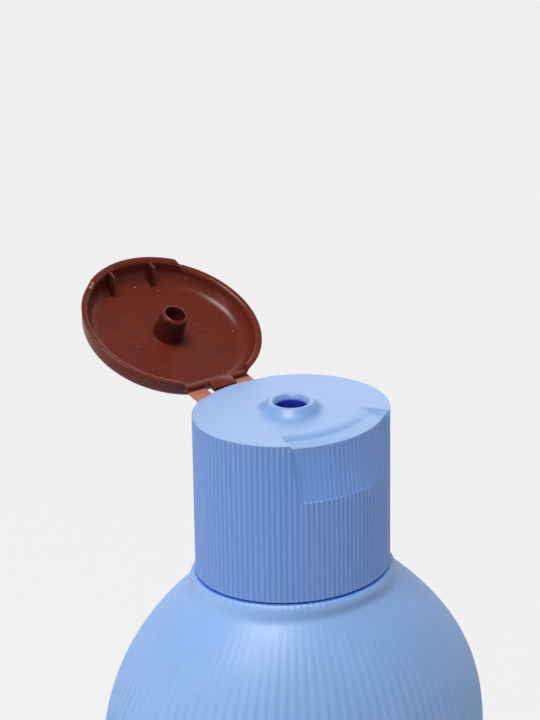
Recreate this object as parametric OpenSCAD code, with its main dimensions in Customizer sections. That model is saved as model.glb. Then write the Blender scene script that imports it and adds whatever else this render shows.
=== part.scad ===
// Shower gel bottle with a two-colour flip-top closure, lid open.
// Lengths in millimetres, angles in degrees.
// Frame: foot plane z = 0 with the origin at its centre, front -Y, lid hinge at +Y.

/* [View] */
// sub-part to build

/* [Bottle body] */
// width of the oval body, side to side
body_w = 79.8; // [60:0.1:100]
// depth of the oval body, front to back
body_d = 63.92; // [50:0.1:85]
// height of the upright side, foot to shoulder
side_h = 107.6; // [60:0.5:150]
// height of the domed shoulder
shoulder_h = 38.6; // [25:0.1:55]
// width of the shoulder where it meets the neck
shoulder_top_w = 35.4; // [30:0.1:37]
// depth of the shoulder where it meets the neck
shoulder_top_d = 30.55; // [29:0.05:36]
// how full the shoulder curve is, seen from the front
shoulder_bulge_w = 2.3; // [1.5:0.05:4]
// how full the shoulder curve is, seen from the side
shoulder_bulge_d = 3; // [1.5:0.05:4]
// how far the shoulder's rim stands out of the closure skirt
rim_out = 0.7; // [0.2:0.05:1.5]
// height of the rim above the top of the dome
rim_rise = 0.56; // [0.2:0.02:1.5]
// rounding of the rim's edge
rim_round = 0.4; // [0.1:0.05:0.8]
// moulded wall thickness
body_wall = 1.2; // [0.8:0.1:2]
// rounding of the foot edge
foot_round = 4; // [2:0.5:8]
// number of upright ribs round the body
body_ribs = 101; // [60:1:160]
// depth of the body ribs
body_rib_depth = 0.3; // [0.1:0.05:0.6]

/* [Neck] */
// outside radius of the round neck
neck_r = 13.6; // [11:0.1:14]
// radius of the neck bore
neck_bore_r = 12; // [9:0.1:12.5]
// height of the neck above the shoulder
neck_h = 21; // [12:0.5:24]
// how far the snap bead stands out of the neck
neck_bead_out = 0.7; // [0.3:0.1:1.2]
// height of the snap bead's face
neck_bead_h = 1.8; // [1:0.1:3]
// distance from the neck rim down to the snap bead
neck_bead_drop = 5.2; // [3:0.1:9]

/* [Closure base] */
// width of the oval closure
cap_w = 38; // [30:0.1:44]
// depth of the oval closure
cap_d = 34.78; // [28:0.1:42]
// height of the closure skirt
cap_h = 30.71; // [20:0.1:40]
// gap between skirt and shoulder
cap_gap = 0.24; // [0.1:0.02:1]
// thickness of the skirt wall
cap_wall = 1.3; // [0.9:0.1:2]
// thickness of the top deck
deck_t = 1.3; // [0.8:0.1:2]
// number of upright ribs round the skirt
cap_ribs = 111; // [60:1:160]
// depth of the skirt ribs
cap_rib_depth = 0.26; // [0.1:0.02:0.5]

/* [Thumb recess] */
// half the angle the recess takes round the front
recess_half_angle = 43.5; // [25:0.1:55]
// half the width of the recess at the deck
recess_top_half_w = 12.3; // [8:0.1:15]
// half the width of the recess at its foot
recess_foot_half_w = 11.2; // [8:0.1:15]
// height of the leaning panel below the deck
recess_h = 11.2; // [6:0.1:16]
// how far the panel leans back at the deck
recess_lean = 1.05; // [0.4:0.05:2]
// depth of the ledge at its inner step
ledge_step = 0.5; // [0.3:0.05:1]
// how much lower the ledge is at its front edge
ledge_slope_drop = 0.45; // [0:0.05:1]
// radius of the ledge's inner step
ledge_r = 19; // [13:0.1:24]
// distance from the closure's centre to the middle of the step
ledge_front = 13.1; // [11:0.1:15]
// how far the step's face slopes
ledge_soft = 1.2; // [0.2:0.1:2]

/* [Outlet] */
// radius of the outlet throat
throat_r = 2.84; // [2:0.02:4]
// level of the throat's upper end above the deck
throat_top = 0.55; // [0:0.05:1]
// length of the throat wall
throat_len = 3.6; // [2:0.1:6]
// inner radius of the lip's crest
lip_in_r = 3.6; // [3:0.05:5]
// outer radius of the lip's crest
lip_out_r = 4.7; // [4:0.05:6]
// height of the lip above the deck
lip_h = 1.75; // [0.8:0.05:2.5]
// radius where the lip's foot runs out
lip_foot_r = 5.8; // [5:0.1:8]

/* [Inner collar] */
// inner radius of the collar round the neck
collar_r = 14.5; // [13.9:0.05:15]
// thickness of the collar
collar_t = 1.1; // [0.8:0.1:1.6]
// length of the collar below the deck
collar_len = 27; // [18:0.5:30]
// thickness of the shelf that rests on the neck rim
shelf_t = 1.2; // [0.8:0.1:2]
// length of the ring that seals the neck bore
seal_len = 4; // [2:0.5:6]
// thickness of the sealing ring
seal_t = 0.95; // [0.6:0.05:1.4]
// clearance between sealing ring and neck bore
seal_clear = 0.05; // [0.02:0.01:0.1]
// clearance below the snap bead
snap_clear = 0.3; // [0.1:0.05:0.6]
// how far the collar's own bead reaches in
collar_bead_in = 0.65; // [0.3:0.05:0.8]

/* [Flip lid] */
// angle of the lid from closed, as stored
lid_open_angle = 152.6; // [100:0.1:175]
// hinge line behind the closure's centre
hinge_back = 17.61; // [16:0.01:19]
// hinge line above the deck
hinge_up = 0.39; // [0:0.01:1]
// how far the open lid has slewed on its soft straps
lid_skew = 3; // [0:0.5:3]
// width of the oval lid
lid_w = 36.48; // [30:0.01:38]
// depth of the oval lid
lid_d = 34.4; // [30:0.01:38]
// height of the lid, rim to top
lid_h = 4.5; // [3.5:0.1:8]
// rounding of the lid's top edge
lid_round = 2.16; // [1:0.02:3]
// how far the lid's side leans in
lid_lean = 0.74; // [0:0.02:1.5]
// gap between the closed lid's rim and the deck
lid_gap = 0.27; // [0.05:0.01:0.4]
// width of the rim face
lid_rim_t = 1.2; // [0.9:0.05:1.8]
// depth of the dish below the rim
dish_depth = 3.47; // [2.5:0.01:5]
// rounding inside the dish
dish_round = 1.9; // [1:0.1:3]
// depth of the front tab below the rim
tab_drop = 1; // [0.4:0.05:1.4]
// half the width of the front tab at its edge
tab_half_w = 10.1; // [6:0.1:12]
// how far the tab's ends slope
tab_slope = 0.9; // [0.2:0.1:2]
// distance from the lid's centre to its flat back
lid_back = 15.7; // [14:0.01:17]
// thickness of the flat back wall
lid_back_t = 1.1; // [0.8:0.1:1.6]
// depth of the rim's notch over the flat back
back_notch = 0.5; // [0.2:0.05:1]
// half the width of the middle hinge web
web_half_w = 2.9; // [1.5:0.1:4]
// height of the middle hinge web
web_h = 1.3; // [0.8:0.1:2]
// gap between the middle web and the hinge line
web_gap = 0.05; // [0.02:0.01:0.3]

/* [Lid plug and ribs] */
// radius of the plug at its tip
plug_tip_r = 2.49; // [1.8:0.01:2.8]
// radius of the plug at its base
plug_base_r = 3.05; // [2:0.01:3.5]
// how far the plug reaches past the rim
plug_reach = 2.04; // [1:0.01:3]
// wall thickness of the hollow plug
plug_wall = 0.75; // [0.5:0.05:1]
// depth of the plug's blind bore
plug_bore_depth = 3.6; // [2:0.1:5]
// distance of each gusset from the middle
gusset_x = 4.82; // [3:0.05:8]
// thickness of a gusset
gusset_t = 0.65; // [0.4:0.05:1.2]
// length of a gusset's top edge
gusset_reach = 1.35; // [0.8:0.05:2]
// how far the gussets stand past the rim
gusset_rise = 0.5; // [0:0.05:0.8]
// how far a gusset runs out towards the floor
gusset_run = 0.95; // [0.4:0.05:2]

/* [Hinge straps] */
// inner edge of each strap from the middle
strap_in_x = 3.3; // [2:0.1:5]
// width of a strap
strap_w = 4; // [2.5:0.1:6]
// thickness of a strap
strap_t = 0.4; // [0.25:0.05:0.8]
// level of the strap's root below the deck
strap_drop = 1.6; // [0.4:0.05:2.4]
// height of the strap's root block
root_h = 1.8; // [1:0.1:3]
// distance from the closure's centre to the root's inner face
root_back = 15; // [14:0.05:16]
// depth of the shallow relief round the hinge
relief_depth = 0.4; // [0.2:0.05:0.8]
// half the width of the relief
relief_half_w = 8.3; // [6:0.1:10]
// height of the relief below the deck
relief_h = 6; // [3:0.5:10]
// level where a strap meets the lid's back wall
strap_lid_up = 2; // [0.3:0.05:2.4]

/* [Hidden] */
$fn = 96;
body_a = body_w / 2;
body_b = body_d / 2;
top_a = shoulder_top_w / 2;
top_b = shoulder_top_d / 2;
cap_a = cap_w / 2;
cap_b = cap_d / 2;
lid_a = lid_w / 2;
lid_b = lid_d / 2;
shoulder_z = side_h + shoulder_h;
rim_z = shoulder_z + rim_rise;
neck_z = rim_z + neck_h;
skirt_z = rim_z + cap_gap;
deck_z = skirt_z + cap_h;
shelf_drop = deck_z - neck_z;
far = body_w;
cut = body_wall / 10;
full_turn = 360;
quarter = 90;
oval_steps = 72;
rib_points = 4;
arc_steps = 720;
foot_shares = [0, 1 / 3, 2 / 3, 1];
round_shares = [1 / 4, 1 / 2, 3 / 4, 1];
dome_shares = [0.75, 0.6, 0.47, 0.35, 0.24, 0.15, 0.09];
rim_shares = [[2.4, 1], [1.4, 0.4], [0.45, 0.1], [0, 0]];
inner_dome_shares = [0.7, 0.5, 0.34, 0.2, 0.09, 0];
strap_colour = [0.69, 0.43, 0.37];
lid_colour = [0.4, 0.18, 0.14];
base_colour = [0.45, 0.58, 0.85];
body_colour = [0.62, 0.75, 0.93];

// radius of an oval with half axes a and b, at angle t
function oval_r(a, b, t) = 1 / sqrt(pow(cos(t) / a, 2) + pow(sin(t) / b, 2));

// length along the widest oval, at equal steps of angle
arc_points = [for (i = [0:arc_steps])
    let (t = i * full_turn / arc_steps - quarter, r = oval_r(body_a, body_b, t))
    [r * cos(t), r * sin(t)]];
arc_table = [for (i = 0, s = 0; i <= arc_steps;
    s = s + (i < arc_steps ? norm(arc_points[i + 1] - arc_points[i]) : 0), i = i + 1)
    [s, i * full_turn / arc_steps - quarter]];
arc_total = arc_table[arc_steps][0];
// crest and groove angles, evenly spaced along the side
rib_angles = [for (i = [0:2 * body_ribs - 1]) lookup(i * arc_total / (2 * body_ribs), arc_table)];
oval_angles = [for (i = [0:oval_steps - 1]) i * full_turn / oval_steps];

// one ring of points at height z, every second point sunk by depth
function ring(angles, a, b, z, depth) = [for (i = [0:len(angles) - 1])
    let (r = oval_r(a, b, angles[i]) - depth * (i % 2))
    [r * cos(angles[i]), r * sin(angles[i]), z]];

// one oval ring at height z, cut flat at the back
function flat_ring(a, b, z, back) = [for (t = oval_angles)
    let (r = oval_r(a, b, t), k = r * sin(t) > back ? back / (r * sin(t)) : 1)
    [r * k * cos(t), r * k * sin(t), z]];

// half axes of the shoulder, s = 1 at its foot and 0 at its top
function dome_a(s) = top_a + (body_a - top_a) * (1 - pow(1 - s, shoulder_bulge_w));
function dome_b(s) = top_b + (body_b - top_b) * (1 - pow(1 - s, shoulder_bulge_d));

// closed solid through rings of equal length, first ring lowest
module ringed(rings) {
    n = len(rings[0]);
    m = len(rings);
    points = [for (r = rings) each r];
    sides = [for (k = [0:m - 2], i = [0:n - 1])
        let (j = (i + 1) % n)
        each [[k * n + i, (k + 1) * n + j, k * n + j], [k * n + i, (k + 1) * n + i, (k + 1) * n + j]]];
    low = [for (i = [0:n - 1]) i];
    high = [for (i = [n - 1:-1:0]) (m - 1) * n + i];
    polyhedron(points = points, faces = concat([low], sides, [high]), convexity = 4);
}

// flat oval outline
module oval_2d(a, b) {
    polygon([for (t = oval_angles) [oval_r(a, b, t) * cos(t), oval_r(a, b, t) * sin(t)]]);
}

// ribbed oval outline of the skirt, with a groove at the middle of the front
module skirt_2d() {
    n = rib_points * cap_ribs;
    polygon([for (i = [0:n - 1])
        let (t = i * full_turn / n - quarter,
            r = oval_r(cap_a, cap_b, t) - cap_rib_depth * (1 + cos(cap_ribs * (t + quarter))) / 2)
        [r * cos(t), r * sin(t)]]);
}

module bottle_outside() {
    rings = concat(
        [for (q = foot_shares) ring(rib_angles,
            body_a - foot_round * (1 - sin(quarter * q)), body_b - foot_round * (1 - sin(quarter * q)),
            foot_round * (1 - cos(quarter * q)), 0)],
        [ring(rib_angles, body_a, body_b, 2 * foot_round, body_rib_depth)],
        [ring(rib_angles, body_a, body_b, side_h, body_rib_depth)],
        [for (s = dome_shares) ring(rib_angles, dome_a(s), dome_b(s), shoulder_z - shoulder_h * s,
            body_rib_depth * min(1, s / 2 + 1 / 2))],
        [for (k = rim_shares) ring(rib_angles, cap_a + rim_out + rim_round * (k[1] - 1 / 4),
            cap_b + rim_out + rim_round * (k[1] - 1 / 4), rim_z - rim_round - k[0] * rim_rise * 1.6, body_rib_depth / 3)],
        [ring(rib_angles, cap_a + rim_out - rim_round, cap_b + rim_out - rim_round, rim_z, 0)]);
    ringed(rings);
}

module bottle_inside() {
    inset = body_wall + body_rib_depth;
    rings = concat(
        [ring(oval_angles, body_a - foot_round - inset, body_b - foot_round - inset, body_wall, 0)],
        [ring(oval_angles, body_a - foot_round / 3 - inset, body_b - foot_round / 3 - inset,
            body_wall + foot_round / 3, 0)],
        [ring(oval_angles, body_a - inset, body_b - inset, body_wall + foot_round, 0)],
        [ring(oval_angles, body_a - inset, body_b - inset, side_h, 0)],
        [for (s = inner_dome_shares) ring(oval_angles, dome_a(s) - inset, dome_b(s) - inset,
            shoulder_z - body_wall - (shoulder_h - body_wall) * s, 0)]);
    ringed(rings);
}

module neck_outside() {
    bead_z = neck_z - neck_bead_drop;
    rotate_extrude()
        polygon([
            [0, shoulder_z - body_wall / 2],
            [neck_r, shoulder_z - body_wall / 2],
            [neck_r, bead_z - neck_bead_h],
            [neck_r + neck_bead_out, bead_z - neck_bead_h + neck_bead_out / 2],
            [neck_r + neck_bead_out, bead_z - neck_bead_out],
            [neck_r, bead_z],
            [neck_r, neck_z - neck_bead_out / 2],
            [neck_r - neck_bead_out / 2, neck_z],
            [0, neck_z]]);
}

module bottle() {
    color(body_colour)
        difference() {
            union() {
                bottle_outside();
                neck_outside();
            }
            bottle_inside();
            translate([0, 0, shoulder_z - 2 * body_wall])
                cylinder(r = neck_bore_r, h = neck_h + 4 * body_wall);
        }
}

// everything in the front sector of the closure, narrower at the recess foot
module front_zone(low, high) {
    reach = 2 * cap_a;
    intersection() {
        translate([0, 0, low])
            linear_extrude(height = high - low)
                polygon([
                    [0, 0],
                    [-reach * sin(recess_half_angle), -reach * cos(recess_half_angle)],
                    [reach * sin(recess_half_angle), -reach * cos(recess_half_angle)]]);
        rotate([quarter, 0, 0])
            linear_extrude(height = reach)
                polygon([
                    [-recess_foot_half_w, -recess_h],
                    [recess_foot_half_w, -recess_h],
                    [recess_top_half_w, 0],
                    [recess_top_half_w, reach],
                    [-recess_top_half_w, reach],
                    [-recess_top_half_w, 0]]);
    }
}

// ribbed prism tipped back about the recess foot
module leaning_skirt() {
    translate([0, -cap_b, -recess_h])
        rotate([-atan(recess_lean / recess_h), 0, 0])
            translate([0, cap_b, -cap_wall])
                linear_extrude(height = recess_h + 3 * cap_wall)
                    skirt_2d();
}

// removes the crescent in front of the soft step, which slopes down all round its outer edge
module ledge_cut() {
    slope_run = cap_b - recess_lean - ledge_front;
    difference() {
        front_zone(-cap_wall * 2, cap_wall);
        translate([0, ledge_r - ledge_front, -ledge_step - 4 * ledge_slope_drop])
            cylinder(r1 = ledge_r + 4 * slope_run, r2 = ledge_r, h = 4 * ledge_slope_drop);
        translate([0, ledge_r - ledge_front, -cap_wall * 2 - cut])
            cylinder(r = cap_w, h = cap_wall * 2 + cut - ledge_step - 4 * ledge_slope_drop);
        translate([0, ledge_r - ledge_front, -ledge_step])
            cylinder(r1 = ledge_r, r2 = ledge_r - ledge_soft, h = ledge_step);
        translate([0, ledge_r - ledge_front, -ledge_step - cap_wall])
            cylinder(r = ledge_r, h = cap_wall + cut / 4);
        translate([0, ledge_r - ledge_front, -cut])
            cylinder(r = ledge_r - ledge_soft, h = cap_wall + 2 * cut);
    }
}

module outlet_lip() {
    mid_r = (lip_in_r + lip_out_r) / 2;
    half = (lip_out_r - lip_in_r) / 2;
    rotate_extrude()
        polygon([
            [throat_r, throat_top - throat_len],
            [throat_r, throat_top],
            [lip_in_r - half / 3, lip_h - 1.6 * half],
            [lip_in_r, lip_h - half],
            [mid_r - 0.7 * half, lip_h - 0.3 * half],
            [mid_r, lip_h],
            [mid_r + 0.7 * half, lip_h - 0.3 * half],
            [lip_out_r, lip_h - half],
            [lip_out_r + (lip_foot_r - lip_out_r) / 5, lip_h / 3],
            [lip_out_r + (lip_foot_r - lip_out_r) / 2, lip_h / 9],
            [lip_foot_r, 0],
            [lip_foot_r, -deck_t],
            [throat_r + deck_t, -deck_t],
            [throat_r + deck_t, throat_top - throat_len]]);
}

module inner_collar() {
    bead_top = -shelf_drop - neck_bead_drop - neck_bead_h - snap_clear;
    seal_r = neck_bore_r - seal_clear;
    rotate_extrude()
        polygon([
            [collar_r, -deck_t / 2],
            [collar_r, -shelf_drop + shelf_t],
            [seal_r - seal_t, -shelf_drop + shelf_t],
            [seal_r - seal_t, -shelf_drop - seal_len],
            [seal_r - seal_t / 3, -shelf_drop - seal_len],
            [seal_r, -shelf_drop - seal_len + seal_t],
            [seal_r, -shelf_drop],
            [collar_r, -shelf_drop],
            [collar_r, bead_top],
            [collar_r - collar_bead_in, bead_top - collar_bead_in],
            [collar_r, bead_top - 3 * collar_bead_in],
            [collar_r, -collar_len],
            [collar_r + collar_t, -collar_len],
            [collar_r + collar_t, -deck_t / 2]]);
}

// pocket for a strap root in the back wall
module root_block(side) {
    low_x = side > 0 ? strap_in_x : -strap_in_x - strap_w;
    translate([low_x, root_back, -strap_drop - root_h + strap_t])
        cube([strap_w, cap_b - root_back, root_h]);
}

// wall surface of the relief round the hinge
module relief_oval() {
    translate([0, 0, -2 * relief_h])
        linear_extrude(height = 2 * relief_h + lid_h)
            oval_2d(cap_a - relief_depth, cap_b - relief_depth);
}

module closure_base() {
    inner_a = cap_a - cap_rib_depth - cap_wall;
    inner_b = cap_b - cap_rib_depth - cap_wall;
    color(base_colour)
        translate([0, 0, deck_z])
            difference() {
                union() {
                    difference() {
                        translate([0, 0, -cap_h])
                            linear_extrude(height = cap_h)
                                skirt_2d();
                        translate([0, 0, -cap_h - cut])
                            linear_extrude(height = cap_h - deck_t + cut)
                                oval_2d(inner_a, inner_b);
                    }
                    inner_collar();
                    outlet_lip();
                    translate([-recess_top_half_w - cap_wall, -inner_b + recess_lean / 2, -recess_h - cap_wall])
                        intersection() {
                            cube([2 * recess_top_half_w + 2 * cap_wall, cap_a / 2, recess_h + cap_wall / 2]);
                            translate([recess_top_half_w + cap_wall, inner_b - recess_lean / 2, 0])
                                linear_extrude(height = recess_h + cap_wall / 2)
                                    difference() {
                                        oval_2d(inner_a + cap_wall / 2, inner_b + cap_wall / 2);
                                        oval_2d(inner_a - recess_lean, inner_b - recess_lean);
                                    }
                        }
                    translate([-relief_half_w, root_back - cap_wall / 2, -relief_h])
                        cube([2 * relief_half_w, cap_wall, relief_h - deck_t / 2]);
                }
                cylinder(r = throat_r, h = throat_len, center = true);
                difference() {
                    front_zone(-recess_h, cap_wall);
                    leaning_skirt();
                }
                ledge_cut();
                difference() {
                    translate([-relief_half_w, cap_b / 2, -relief_h])
                        cube([2 * relief_half_w, cap_b, relief_h + cut]);
                    relief_oval();
                }
                root_block(1);
                root_block(-1);
            }
}

// places a closed-lid shape at its stored open angle
module swing_open() {
    translate([0, hinge_back, hinge_up])
        rotate([-lid_open_angle, 0, 0])
            translate([0, -hinge_back, lid_gap - hinge_up])
                rotate([0, 0, lid_skew])
                    children();
}

module lid_outside() {
    side_top = lid_h - lid_round;
    ringed(concat(
        [flat_ring(lid_a, lid_b, 0, lid_back)],
        [flat_ring(lid_a - lid_lean, lid_b - lid_lean, side_top, lid_back)],
        [for (q = round_shares)
            let (inset = lid_round * (1 - cos(quarter * q)))
            flat_ring(lid_a - lid_lean - inset, lid_b - lid_lean - inset,
                side_top + lid_round * sin(quarter * q), lid_back - inset)]));
}

module lid_inside() {
    wall_top = dish_depth - dish_round;
    lean = lid_lean * wall_top / lid_h;
    in_a = lid_a - lid_rim_t - lean;
    in_b = lid_b - lid_rim_t - lean;
    ringed(concat(
        [flat_ring(lid_a - lid_rim_t, lid_b - lid_rim_t, -cut, lid_back - lid_back_t)],
        [flat_ring(in_a, in_b, wall_top, lid_back - lid_back_t)],
        [for (q = round_shares)
            let (inset = dish_round * (1 - cos(quarter * q)))
            flat_ring(in_a - inset, in_b - inset, wall_top + dish_round * sin(quarter * q),
                lid_back - lid_back_t - inset)]));
}

module front_tab() {
    reach = 2 * lid_a;
    intersection() {
        translate([0, 0, -tab_drop])
            linear_extrude(height = tab_drop + lid_rim_t / 2)
                difference() {
                    oval_2d(lid_a - cut, lid_b - cut);
                    oval_2d(lid_a - lid_rim_t + cut, lid_b - lid_rim_t + cut);
                }
        rotate([quarter, 0, 0])
            linear_extrude(height = reach)
                polygon([
                    [-tab_half_w, -tab_drop],
                    [tab_half_w, -tab_drop],
                    [tab_half_w + tab_slope, 0],
                    [tab_half_w + tab_slope, lid_rim_t / 2],
                    [-tab_half_w - tab_slope, lid_rim_t / 2],
                    [-tab_half_w - tab_slope, 0]]);
    }
}

module lid_plug() {
    rotate_extrude()
        polygon([
            [0, dish_depth + lid_rim_t / 2],
            [plug_base_r, dish_depth + lid_rim_t / 2],
            [plug_base_r, dish_depth],
            [plug_tip_r, plug_wall / 2 - plug_reach],
            [plug_tip_r - plug_wall / 3, -plug_reach],
            [plug_tip_r - plug_wall * 2 / 3, -plug_reach],
            [plug_tip_r - plug_wall, plug_wall / 2 - plug_reach],
            [plug_tip_r - plug_wall, plug_bore_depth - plug_reach],
            [0, plug_bore_depth - plug_reach]]);
}

module gusset(x) {
    in_a = lid_a - lid_rim_t;
    in_b = lid_b - lid_rim_t;
    wall_y = in_b * sqrt(1 - pow(x / in_a, 2));
    translate([x - gusset_t / 2, 0, 0])
        rotate([quarter, 0, quarter])
            linear_extrude(height = gusset_t)
                polygon([
                    [-wall_y - lid_rim_t / 3, -gusset_rise],
                    [-wall_y + gusset_reach, -gusset_rise],
                    [-wall_y + gusset_reach + gusset_run, dish_depth - lid_rim_t / 3],
                    [-wall_y + gusset_reach + gusset_run, dish_depth + lid_rim_t / 4],
                    [-wall_y + gusset_reach, dish_depth + lid_rim_t / 4],
                    [-wall_y, lid_rim_t],
                    [-wall_y - lid_rim_t / 3, lid_rim_t]]);
}

module flip_lid() {
    color(lid_colour)
        translate([0, 0, deck_z])
            swing_open()
                difference() {
                    union() {
                        difference() {
                            lid_outside();
                            lid_inside();
                        }
                        front_tab();
                        lid_plug();
                        gusset(gusset_x);
                        gusset(-gusset_x);
                        translate([hinge_back * sin(lid_skew) - web_half_w, lid_back - lid_back_t / 2, back_notch])
                            cube([2 * web_half_w, hinge_back - web_gap - lid_back + lid_back_t / 2, web_h]);
                    }
                    translate([-strap_in_x - strap_w - lid_rim_t / 2, lid_back - 2 * lid_back_t, -cut])
                        cube([2 * strap_in_x + 2 * strap_w + lid_rim_t, 3 * lid_back_t, back_notch + cut]);
                }
}

module hinge_strap(side) {
    low_x = side > 0 ? strap_in_x : -strap_in_x - strap_w;
    // where the strap meets the back wall of the opened lid
    rel_y = lid_back - hinge_back;
    rel_z = lid_gap + strap_lid_up - hinge_up;
    end_y = hinge_back + rel_y * cos(lid_open_angle) + rel_z * sin(lid_open_angle);
    end_z = hinge_up - rel_y * sin(lid_open_angle) + rel_z * cos(lid_open_angle);
    run = norm([end_y - root_back, end_z + strap_drop]);
    slope = atan2(end_z + strap_drop, end_y - root_back);
    color(strap_colour)
        translate([0, 0, deck_z])
            union() {
                intersection() {
                    root_block(side);
                    relief_oval();
                }
                difference() {
                    translate([low_x, root_back, -strap_drop])
                        rotate([slope, 0, 0])
                            translate([0, -strap_t / 2, -strap_t / 2])
                                cube([strap_w, run + 4 * strap_t, strap_t]);
                    swing_open()
                        translate([-lid_a, lid_back - lid_a, -lid_h])
                            cube([2 * lid_a, lid_a, 3 * lid_h]);
                    relief_oval();
                }
            }
}

module hinge_strap_left() {
    hinge_strap(-1);
}

module hinge_strap_right() {
    hinge_strap(1);
}

bottle();
closure_base();
flip_lid();
hinge_strap_left();
hinge_strap_right();
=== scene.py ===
"""Shower gel bottle: ribbed bottle, blue closure and open red-brown lid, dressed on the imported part."""
import math

import bmesh
import bpy
from mathutils import Matrix, Vector


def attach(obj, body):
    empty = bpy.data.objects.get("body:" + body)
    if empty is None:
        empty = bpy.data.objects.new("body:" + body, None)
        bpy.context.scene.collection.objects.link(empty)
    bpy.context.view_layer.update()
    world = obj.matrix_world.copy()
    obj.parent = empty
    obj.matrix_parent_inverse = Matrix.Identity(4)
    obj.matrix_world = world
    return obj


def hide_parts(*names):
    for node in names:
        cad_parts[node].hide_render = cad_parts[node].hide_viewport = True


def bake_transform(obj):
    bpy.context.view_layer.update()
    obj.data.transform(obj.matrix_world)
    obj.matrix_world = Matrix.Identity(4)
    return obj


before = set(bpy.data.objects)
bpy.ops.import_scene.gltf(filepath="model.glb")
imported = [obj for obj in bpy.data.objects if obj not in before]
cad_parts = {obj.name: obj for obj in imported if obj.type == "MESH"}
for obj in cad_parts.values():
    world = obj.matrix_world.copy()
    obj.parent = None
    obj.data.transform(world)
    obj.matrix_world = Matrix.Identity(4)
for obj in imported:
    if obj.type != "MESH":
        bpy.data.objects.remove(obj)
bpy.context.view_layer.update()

MM = 0.001
FRONT = -math.pi / 2
# points round each rib, and round the plain circles
PER_RIB = 8
NECK_SIDES, LIP_SIDES, PLUG_SIDES, MARK_SIDES, LID_SIDES = 128, 144, 120, 48, 360

# sizes of the bottle, in millimetres
BODY_A, BODY_B = 39.9, 31.96
SIDE_H, SHOULDER_H = 107.6, 38.6
SHOULDER_Z = SIDE_H + SHOULDER_H
TOP_A, TOP_B = 17.7, 15.275
BULGE_A, BULGE_B = 2.3, 3.0
FOOT_ROUND = 4.0
SIDE_ROWS = (2 * FOOT_ROUND, 40.0, 75.0, SIDE_H)
BODY_RIBS, BODY_RIB_DEPTH, BODY_GROOVE_POWER = 101, 0.3, 1.3
RIM_RISE = 0.56
RIM_Z = SHOULDER_Z + RIM_RISE
FLANK_FOOT = 0.078
EDGE_OUT, EDGE_ROUND, EDGE_TURN = 0.64, 1.4, math.radians(52)
TOOTH_DEPTH = 0.1
BODY_WALL, SHOULDER_WALL = 1.5, 1.2
INNER_SHOULDER_ROWS = (0.1, 0.25, 0.45, 0.7, 1.0)
NECK_R, NECK_BORE_R, NECK_H = 13.6, 12.0, 21.0
NECK_BEAD, NECK_EDGE = 0.7, 0.3
NECK_PROFILE = ((NECK_R, 12.5), (NECK_R + NECK_BEAD, 14.0), (NECK_R + NECK_BEAD, 15.1), (NECK_R, 15.8),
                (NECK_R, NECK_H - NECK_EDGE), (NECK_R - NECK_EDGE, NECK_H), (NECK_BORE_R + 0.2, NECK_H),
                (NECK_BORE_R, NECK_H - NECK_EDGE), (NECK_BORE_R, -2.0))
INNER_FOOT_PROFILE = ((1.5, 5.2), (2.8, 2.5), (5.5, 1.2))

# sizes of the closure base
CAP_A, CAP_B = 19.0, 17.39
CAP_H, CAP_GAP = 30.71, 0.24
DECK_Z = RIM_Z + CAP_GAP + CAP_H
CAP_RIBS, CAP_RIB_DEPTH = 111, 0.26
GROOVE_SOFT, RECESS_SOFT = 0.72, 0.7
# what is left of a groove at the deck and at the foot, and the height over which it deepens
GROOVE_AT_DECK, GROOVE_DECK_RUN = 0.45, 0.4
GROOVE_AT_FOOT, GROOVE_FOOT_RUN = 0.5, 0.8
CAP_WALL, DECK_T = 1.3, 1.3
RECESS_TOP_X, RECESS_FOOT_X = 12.3, 11.2
RECESS_H, RECESS_LEAN, RECESS_FOOT_IN = 11.2, 1.05, 0.22
RECESS_TURN, RECESS_TURN_POWER, RECESS_SINK = 1.2, 2.5, 0.12
RIB_START_X, RIB_START_RUN = 10.75, 0.45
LEDGE_R, LEDGE_FRONT = 19.0, 13.1
LEDGE_STEP, LEDGE_STEP_RUN, LEDGE_STEP_POWER = 0.5, 2.8, 2.6
LEDGE_DROP, LEDGE_FADE, LEDGE_FADE_X, LEDGE_FADE_RUN = 0.32, 0.3, 2.0, 9.0
LEDGE_END_X, LEDGE_END_Y, LEDGE_END_SLOPE = 12.3, -13.25, 0.347
LEDGE_END_OUT, LEDGE_END_LEFT, LEDGE_END_RIGHT = 0.2, 0.9, 1.3
RELIEF_X, RELIEF_H, RELIEF_DEPTH, RELIEF_TURN = 8.3, 6.0, 0.4, 0.2
DECK_EDGE_DROP = 0.1
THROAT_R, THROAT_WALL, THROAT_H, LIP_H = 2.84, 1.3, 3.05, 1.75
SKIRT_ROWS = (-0.12, -0.25, -0.5, -RECESS_H + 0.1, -RECESS_H, -RECESS_H - 0.1,
              -CAP_H + 0.9, -CAP_H + 0.4, -CAP_H)
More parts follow.
